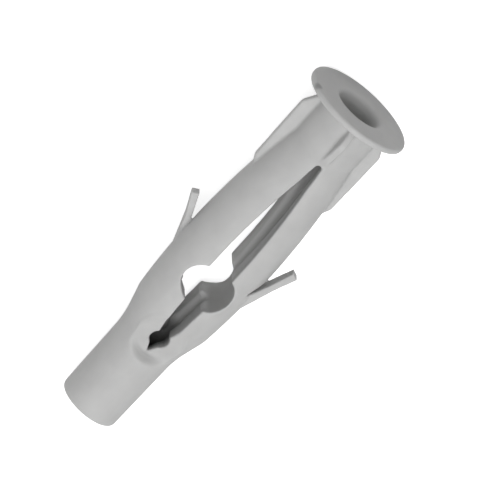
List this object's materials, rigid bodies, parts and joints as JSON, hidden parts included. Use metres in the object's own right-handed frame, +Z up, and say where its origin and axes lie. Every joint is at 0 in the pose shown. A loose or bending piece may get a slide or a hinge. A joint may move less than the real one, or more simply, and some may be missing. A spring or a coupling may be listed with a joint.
{
  "type": "wall plug",
  "caption": "Moulded nylon wall plug with a round collar, anti-turn fins, folding locking tongues and a slotted body whose bowed legs spread or knot as the screw is driven in.",
  "frame": {"origin": "on the plug's axis, in the plane of the wall's face, where the underside of the collar seats", "axes": "+X along the plug from the collar to the tip, but for a lean of about 3.5 degrees because the plug lies on its collar's rim and its tip; the legs bow out along +Y and -Y, and the slot faces +Z and -Z, +Z up"},
  "size_m": [0.0506, 0.016, 0.0138],
  "materials": {
    "nylon": "satin light grey, as moulded"
  },
  "bodies": {
    "root": {"plug": "nylon"}
  },
  "joints": []
}
